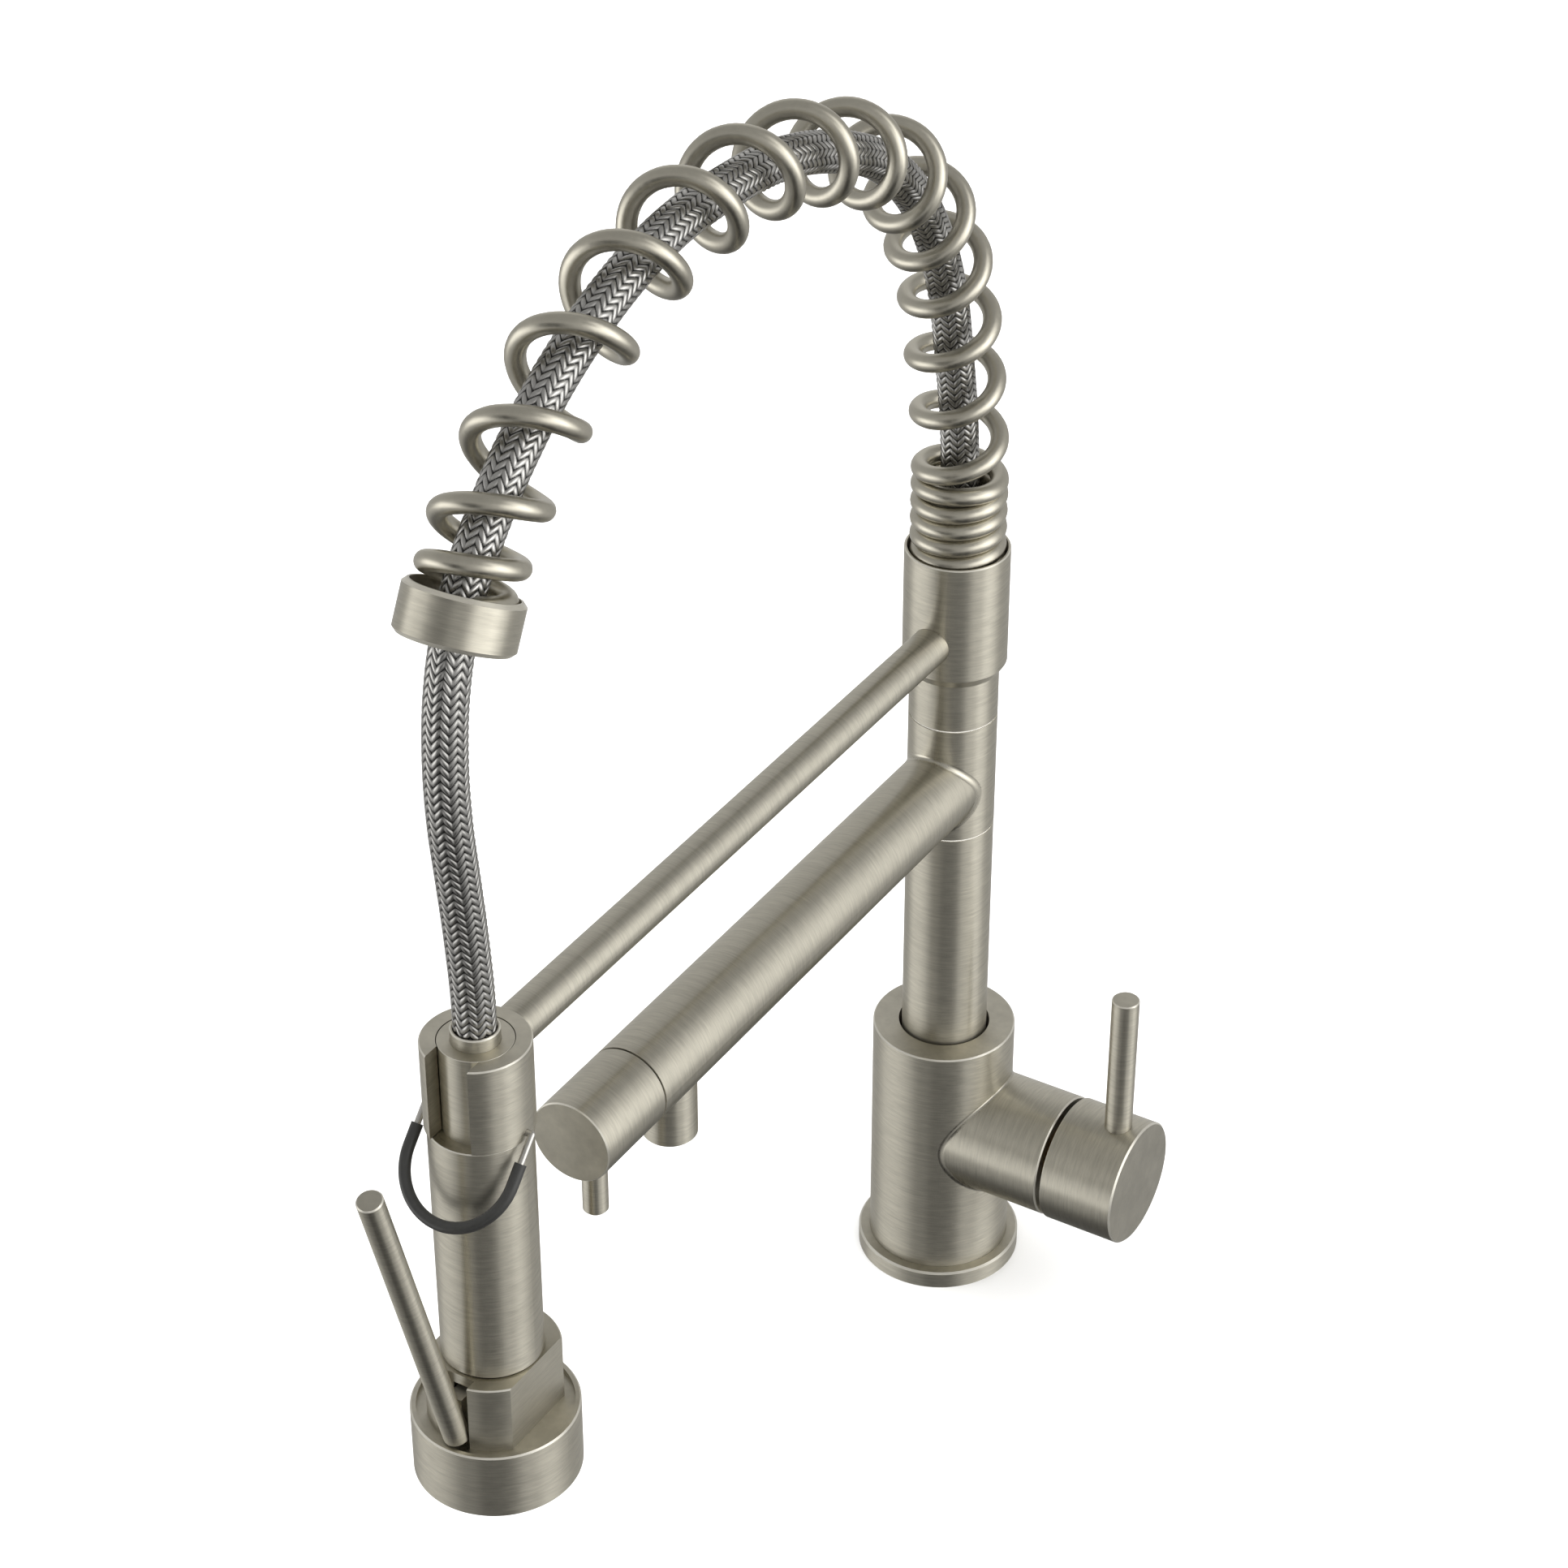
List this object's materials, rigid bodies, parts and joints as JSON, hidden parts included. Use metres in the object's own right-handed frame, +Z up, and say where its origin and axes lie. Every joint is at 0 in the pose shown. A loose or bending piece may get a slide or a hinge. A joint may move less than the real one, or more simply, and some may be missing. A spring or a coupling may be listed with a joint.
{
  "type": "kitchen faucet",
  "caption": "Spring-arch pull-down kitchen faucet with a side mixer handle, a swinging pot-filler spout and a lever sprayer held in a dock",
  "frame": {"origin": "on the column axis at the deck surface the base stands on", "axes": "+Z up along the column, -Y the way the spout and the arch reach, +X the side the mixer handle is on"},
  "size_m": [0.108, 0.3595, 0.4897],
  "materials": {
    "nickel": "brushed satin nickel",
    "wire": "satin nickel on drawn spring wire",
    "steel": "plain stainless steel",
    "brass": "machined brass",
    "rubber": "matt black rubber",
    "sleeve": "dark grey rubber sleeve",
    "plastic": "off-white moulded acetal",
    "ceramic": "lapped ceramic disc",
    "braid": "stainless steel braid over a rubber hose"
  },
  "bodies": {
    "base": {"base_ring": "nickel", "base_gasket": "rubber", "body": "nickel", "cartridge_body": "plastic", "cartridge_seals": "rubber", "disc_fixed": "ceramic", "cartridge_nut": "brass", "column_tube": "nickel", "column_orings": "rubber", "swivel_post": "brass", "post_orings": "rubber", "post_nut": "brass", "swivel_washers": "plastic"},
    "mixer_carrier": {"cartridge_rotor": "plastic", "stem_pin": "brass"},
    "mixer_handle": {"mixer_stem": "brass", "handle_cap": "nickel", "handle_rod": "nickel", "handle_screw": "steel"},
    "mixer_disc": {"disc_moving": "ceramic"},
    "spout": {"spout": "nickel", "drum_nut": "brass", "aerator_housing": "brass", "aerator_insert": "plastic", "aerator_washer": "rubber"},
    "spout_valve": {"spout_drum": "brass", "drum_orings": "rubber", "spout_cap": "nickel", "cap_pin": "nickel"},
    "top": {"swivel_sleeve": "nickel", "collar": "nickel", "collar_screw": "steel", "hose_connector": "brass", "connector_oring": "rubber", "hose_crimp": "steel", "arm_rod": "nickel", "dock": "nickel", "spring": "wire", "spring_ferrule": "nickel", "ferrule_bush": "plastic", "hose": "braid"},
    "hose_end": {"hose_nut": "nickel"},
    "sprayer": {"sprayer_neck": "nickel", "check_valve": "plastic", "sprayer_grip": "nickel", "water_tube": "plastic", "valve_block": "nickel", "valve_plug": "brass", "lever_pin": "steel", "spray_bell": "nickel", "spray_distributor": "plastic", "spray_face": "rubber", "face_screw": "steel", "plunger_spring": "steel"},
    "plunger": {"valve_plunger": "brass"},
    "lever": {"spray_lever": "nickel"},
    "bail": {"bail_wire": "steel", "bail_sleeve": "sleeve"}
  },
  "joints": [
    {"name": "handle_turn", "type": "hinge", "parent": "base", "child": "mixer_carrier", "pos_m": [0.0355, 0, 0.0584], "axis": [1, 0, 0], "range_deg": [-45, 45]},
    {"name": "handle_tilt", "type": "hinge", "parent": "mixer_carrier", "child": "mixer_handle", "pos_m": [0.0355, 0, 0.0584], "axis": [0, 1, 0], "range_deg": [0, 20]},
    {"name": "disc_slide", "type": "slide", "parent": "mixer_carrier", "child": "mixer_disc", "axis": [0, 0, 1], "range_m": [0, 0.0018]},
    {"name": "spout_swivel", "type": "hinge", "parent": "base", "child": "spout", "pos_m": [0, 0, 0.2032], "axis": [0, 0, 1], "range_deg": [-180, 180]},
    {"name": "spout_tap", "type": "hinge", "parent": "spout", "child": "spout_valve", "pos_m": [0, -0.2, 0.2032], "axis": [0, 1, 0], "range_deg": [0, 90]},
    {"name": "top_swivel", "type": "hinge", "parent": "base", "child": "top", "pos_m": [0, 0, 0.25], "axis": [0, 0, 1], "range_deg": [-180, 180]},
    {"name": "sprayer_pull", "type": "slide", "parent": "top", "child": "hose_end", "axis": [0, 0, -1], "range_m": [0, 0.06], "stiffness_N_per_m": 60, "springref_m": -0.15, "deforming": ["hose"]},
    {"name": "sprayer_turn", "type": "hinge", "parent": "hose_end", "child": "sprayer", "pos_m": [0, -0.275, 0.26], "axis": [0, 0, 1], "range_deg": [-60, 60]},
    {"name": "lever_press", "type": "hinge", "parent": "sprayer", "child": "lever", "pos_m": [0, -0.289, 0.1435], "axis": [-1, 0, 0], "range_deg": [0, 9.5], "stiffness_Nm_per_rad": 0.5, "springref_deg": -17.19},
    {"name": "plunger_slide", "type": "slide", "parent": "sprayer", "child": "plunger", "axis": [0, 1, 0], "range_m": [0, 0.0015]},
    {"name": "bail_swing", "type": "hinge", "parent": "top", "child": "bail", "pos_m": [0, -0.275, 0.2435], "axis": [-1, 0, 0], "range_deg": [-8, 95]}
  ],
  "couplings": [
    {"joint": "disc_slide", "follows": "handle_tilt", "m_per_rad": 0.0048},
    {"joint": "plunger_slide", "follows": "lever_press", "m_per_rad": 0.00845}
  ]
}
